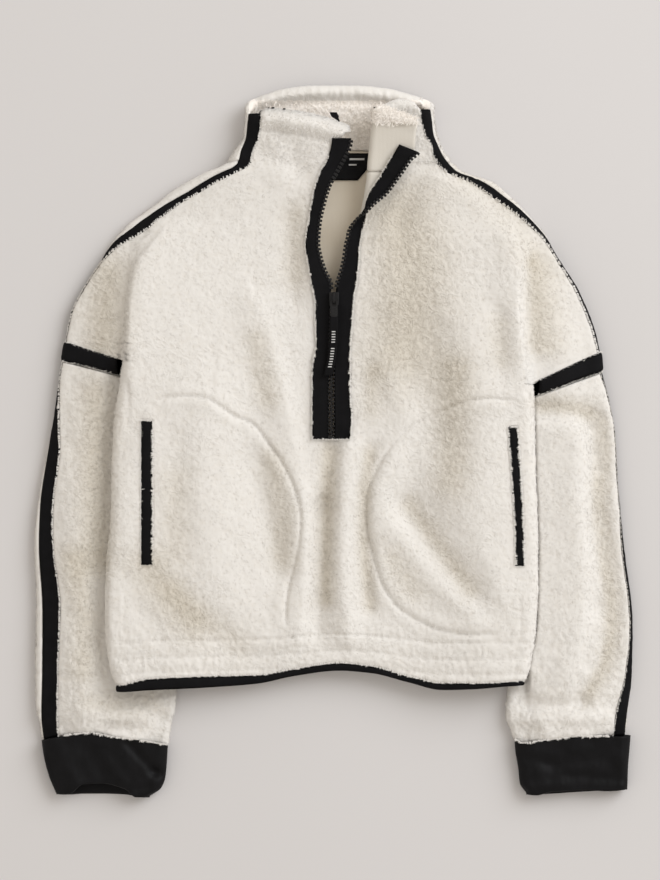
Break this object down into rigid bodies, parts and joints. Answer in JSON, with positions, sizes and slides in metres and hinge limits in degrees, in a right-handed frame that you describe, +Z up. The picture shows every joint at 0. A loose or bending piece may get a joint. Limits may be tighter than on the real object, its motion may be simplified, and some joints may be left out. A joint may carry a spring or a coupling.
{
  "type": "half-zip fleece pullover",
  "caption": "Drop-shoulder half-zip pullover in nubby fleece with a stand collar, contrast tapes and cuffs, laid flat on its back.",
  "frame": {"origin": "middle of the outline's box, on the surface the garment lies on", "axes": "+X to the right as laid, +Y from the hem to the collar, +Z up from the surface"},
  "size_m": [0.6896, 0.8195, 0.0472],
  "materials": {
    "sherpa_fleece": "deep nubby pile, matt",
    "woven_trim": "plain weave, matt",
    "cuff_cloth": "smooth weave with a faint sheen",
    "pocket_cloth": "plain knit, matt",
    "label_cloth": "satin weave",
    "zip_plastic": "moulded, satin"
  },
  "bodies": {
    "garment": {"armhole_band_left": "woven_trim", "armhole_band_right": "woven_trim", "back": "sherpa_fleece", "collar_back": "sherpa_fleece", "collar_front_left": "sherpa_fleece", "collar_front_right": "sherpa_fleece", "cuff_left": "cuff_cloth", "cuff_right": "cuff_cloth", "front": "sherpa_fleece", "hem_binding_back": "woven_trim", "hem_binding_front": "woven_trim", "neck_label": "label_cloth", "pocket_bag_left": "pocket_cloth", "pocket_bag_right": "pocket_cloth", "shoulder_tape_left": "woven_trim", "shoulder_tape_right": "woven_trim", "sleeve_back_left": "sherpa_fleece", "sleeve_back_right": "sherpa_fleece", "sleeve_front_left": "sherpa_fleece", "sleeve_front_right": "sherpa_fleece", "sleeve_tape_left": "woven_trim", "sleeve_tape_right": "woven_trim", "welt_left": "woven_trim", "welt_right": "woven_trim", "zip_chain": "zip_plastic", "zip_slider": "zip_plastic", "zip_tape_end": "woven_trim", "zip_tape_left": "woven_trim", "zip_tape_right": "woven_trim"},
    "zip_pull": {"pull_tab": "zip_plastic", "pull_ribbon": "woven_trim"}
  },
  "joints": [
    {"name": "pull_swing", "type": "hinge", "parent": "garment", "child": "zip_pull", "pos_m": [0, 0.1614, 0.0338], "axis": [-1, 0, 0], "range_deg": [0, 130]}
  ]
}
